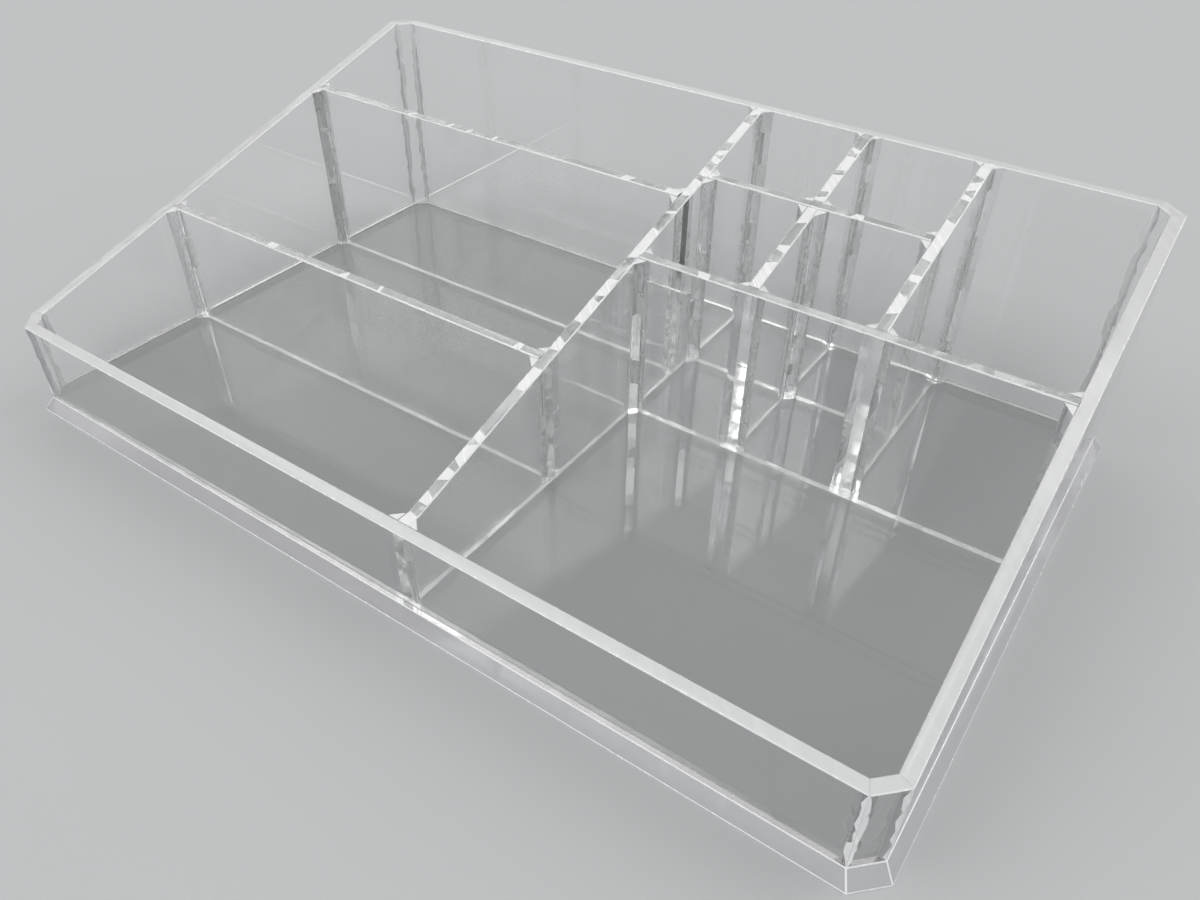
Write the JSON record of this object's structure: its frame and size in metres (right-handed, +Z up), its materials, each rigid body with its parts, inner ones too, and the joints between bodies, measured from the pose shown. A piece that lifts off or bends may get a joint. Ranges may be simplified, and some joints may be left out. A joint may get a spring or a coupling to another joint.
{
  "type": "vanity organizer",
  "caption": "Clear acrylic counter-top organizer with a bevelled base, cut corners and sloping sides, divided into wide bays, a front tray and square cells for cosmetics.",
  "frame": {"origin": "centre of the base plate's underside, on the surface that it stands on", "axes": "+X to the right along the longest side, +Y to the tall back, +Z up"},
  "size_m": [0.306, 0.195, 0.0825],
  "materials": {
    "clear_sheet": "polished clear acrylic sheet with bright cut edges",
    "clear_base": "polished clear acrylic plate with a bevelled rim",
    "clear_bead": "clear acrylic corner bead, slightly uneven"
  },
  "bodies": {
    "root": {"back_left_corner": "clear_sheet", "back_right_corner": "clear_sheet", "back_wall": "clear_sheet", "base_plate": "clear_base", "cell_divider": "clear_sheet", "centre_divider": "clear_sheet", "front_bay_back_left_bead": "clear_bead", "front_bay_back_right_bead": "clear_bead", "front_bay_front_right_bead": "clear_bead", "front_left_corner": "clear_sheet", "front_right_corner": "clear_sheet", "front_wall": "clear_sheet", "high_divider": "clear_sheet", "inner_column_divider": "clear_sheet", "inner_front_cell_back_left_bead": "clear_bead", "inner_front_cell_back_right_bead": "clear_bead", "inner_front_cell_front_left_bead": "clear_bead", "inner_front_cell_front_right_bead": "clear_bead", "inner_rear_cell_back_left_bead": "clear_bead", "inner_rear_cell_back_right_bead": "clear_bead", "inner_rear_cell_front_left_bead": "clear_bead", "inner_rear_cell_front_right_bead": "clear_bead", "left_wall": "clear_sheet", "low_divider": "clear_sheet", "middle_bay_back_left_bead": "clear_bead", "middle_bay_back_right_bead": "clear_bead", "middle_bay_front_left_bead": "clear_bead", "middle_bay_front_right_bead": "clear_bead", "outer_column_divider": "clear_sheet", "outer_front_cell_back_left_bead": "clear_bead", "outer_front_cell_back_right_bead": "clear_bead", "outer_front_cell_front_left_bead": "clear_bead", "outer_front_cell_front_right_bead": "clear_bead", "outer_rear_cell_back_left_bead": "clear_bead", "outer_rear_cell_back_right_bead": "clear_bead", "outer_rear_cell_front_left_bead": "clear_bead", "outer_rear_cell_front_right_bead": "clear_bead", "rear_bay_back_right_bead": "clear_bead", "rear_bay_front_left_bead": "clear_bead", "rear_bay_front_right_bead": "clear_bead", "right_wall": "clear_sheet", "tall_bay_back_left_bead": "clear_bead", "tall_bay_front_left_bead": "clear_bead", "tall_bay_front_right_bead": "clear_bead", "tray_back_left_bead": "clear_bead", "tray_back_right_bead": "clear_bead", "tray_divider": "clear_sheet", "tray_front_left_bead": "clear_bead"}
  },
  "joints": []
}
